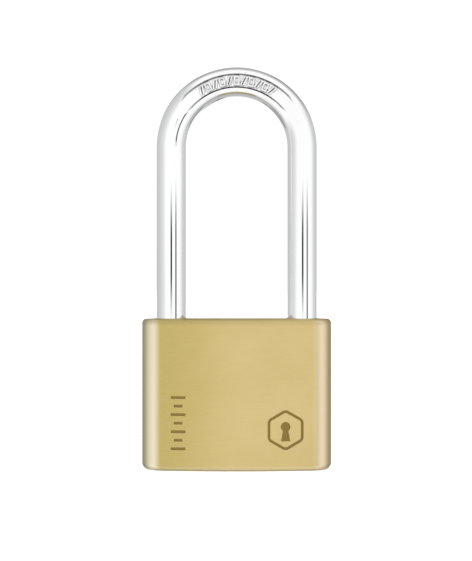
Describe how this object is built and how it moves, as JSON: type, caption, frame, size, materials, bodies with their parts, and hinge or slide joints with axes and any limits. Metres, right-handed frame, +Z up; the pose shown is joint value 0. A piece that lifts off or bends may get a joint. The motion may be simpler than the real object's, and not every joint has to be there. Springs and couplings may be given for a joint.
{
  "type": "key padlock",
  "caption": "Solid brass key padlock with a long round chromed shackle, a bottom keyway, sliding bolts and a pin-tumbler plug.",
  "frame": {"origin": "middle of the body's flat bottom", "axes": "+X across the width towards the shackle's toe, +Y through the thickness away from the marked face, +Z up along the shackle's legs"},
  "size_m": [0.05, 0.015, 0.1061],
  "materials": {
    "body_brass": "satin, finely brushed",
    "plug_brass": "machined",
    "pin_brass": "turned, bright",
    "shackle_chrome": "polished chrome plate",
    "works_steel": "ground",
    "spring_steel": "drawn wire"
  },
  "bodies": {
    "lock_body": {"body_block": "body_brass", "shackle_stop_pin": "works_steel", "plug_retaining_pin": "works_steel", "bolt_bore_plug": "body_brass", "shackle_spring": "spring_steel", "chamber_plug_1": "body_brass", "chamber_plug_2": "body_brass", "chamber_plug_3": "body_brass", "chamber_plug_4": "body_brass", "chamber_plug_5": "body_brass", "driver_spring_1": "spring_steel", "driver_spring_2": "spring_steel", "driver_spring_3": "spring_steel", "driver_spring_4": "spring_steel", "driver_spring_5": "spring_steel"},
    "shackle": {"shackle": "shackle_chrome"},
    "plug": {"plug": "plug_brass", "bolt_driver": "works_steel"},
    "toe_bolt": {"toe_bolt": "works_steel"},
    "heel_bolt": {"heel_bolt": "works_steel"},
    "driver_pin_1": {"driver_pin_1": "pin_brass"},
    "key_pin_1": {"key_pin_1": "pin_brass"},
    "driver_pin_2": {"driver_pin_2": "pin_brass"},
    "key_pin_2": {"key_pin_2": "pin_brass"},
    "driver_pin_3": {"driver_pin_3": "pin_brass"},
    "key_pin_3": {"key_pin_3": "pin_brass"},
    "driver_pin_4": {"driver_pin_4": "pin_brass"},
    "key_pin_4": {"key_pin_4": "pin_brass"},
    "driver_pin_5": {"driver_pin_5": "pin_brass"},
    "key_pin_5": {"key_pin_5": "pin_brass"}
  },
  "joints": [
    {"name": "shackle_lift", "type": "slide", "parent": "lock_body", "child": "shackle", "axis": [0, 0, 1], "range_m": [0, 0.015], "deforming": ["shackle_spring"]},
    {"name": "plug_turn", "type": "hinge", "parent": "lock_body", "child": "plug", "pos_m": [0, 0, 0], "axis": [0, 0, 1], "range_deg": [-90, 0]},
    {"name": "toe_bolt_slide", "type": "slide", "parent": "lock_body", "child": "toe_bolt", "axis": [1, 0, 0], "range_m": [0, 0.00226]},
    {"name": "heel_bolt_slide", "type": "slide", "parent": "lock_body", "child": "heel_bolt", "axis": [-1, 0, 0], "range_m": [0, 0.00226]},
    {"name": "driver_pin_1_slide", "type": "slide", "parent": "lock_body", "child": "driver_pin_1", "axis": [1, 0, 0], "range_m": [0, 0.0016], "stiffness_N_per_m": 150, "springref_m": -0.003, "deforming": ["driver_spring_1"]},
    {"name": "key_pin_1_slide", "type": "slide", "parent": "plug", "child": "key_pin_1", "axis": [0, -1, 0], "range_m": [0, 0.0025]},
    {"name": "driver_pin_2_slide", "type": "slide", "parent": "lock_body", "child": "driver_pin_2", "axis": [1, 0, 0], "range_m": [0, 0.0016], "stiffness_N_per_m": 150, "springref_m": -0.003, "deforming": ["driver_spring_2"]},
    {"name": "key_pin_2_slide", "type": "slide", "parent": "plug", "child": "key_pin_2", "axis": [0, -1, 0], "range_m": [0, 0.0013]},
    {"name": "driver_pin_3_slide", "type": "slide", "parent": "lock_body", "child": "driver_pin_3", "axis": [1, 0, 0], "range_m": [0, 0.0016], "stiffness_N_per_m": 150, "springref_m": -0.003, "deforming": ["driver_spring_3"]},
    {"name": "key_pin_3_slide", "type": "slide", "parent": "plug", "child": "key_pin_3", "axis": [0, -1, 0], "range_m": [0, 0.0031]},
    {"name": "driver_pin_4_slide", "type": "slide", "parent": "lock_body", "child": "driver_pin_4", "axis": [1, 0, 0], "range_m": [0, 0.0016], "stiffness_N_per_m": 150, "springref_m": -0.003, "deforming": ["driver_spring_4"]},
    {"name": "key_pin_4_slide", "type": "slide", "parent": "plug", "child": "key_pin_4", "axis": [0, -1, 0], "range_m": [0, 0.0019]},
    {"name": "driver_pin_5_slide", "type": "slide", "parent": "lock_body", "child": "driver_pin_5", "axis": [1, 0, 0], "range_m": [0, 0.0016], "stiffness_N_per_m": 150, "springref_m": -0.003, "deforming": ["driver_spring_5"]},
    {"name": "key_pin_5_slide", "type": "slide", "parent": "plug", "child": "key_pin_5", "axis": [0, -1, 0], "range_m": [0, 0.0027]}
  ],
  "couplings": [
    {"joint": "toe_bolt_slide", "follows": "plug_turn", "m_per_rad": -0.0014405},
    {"joint": "heel_bolt_slide", "follows": "plug_turn", "m_per_rad": -0.0014405}
  ]
}
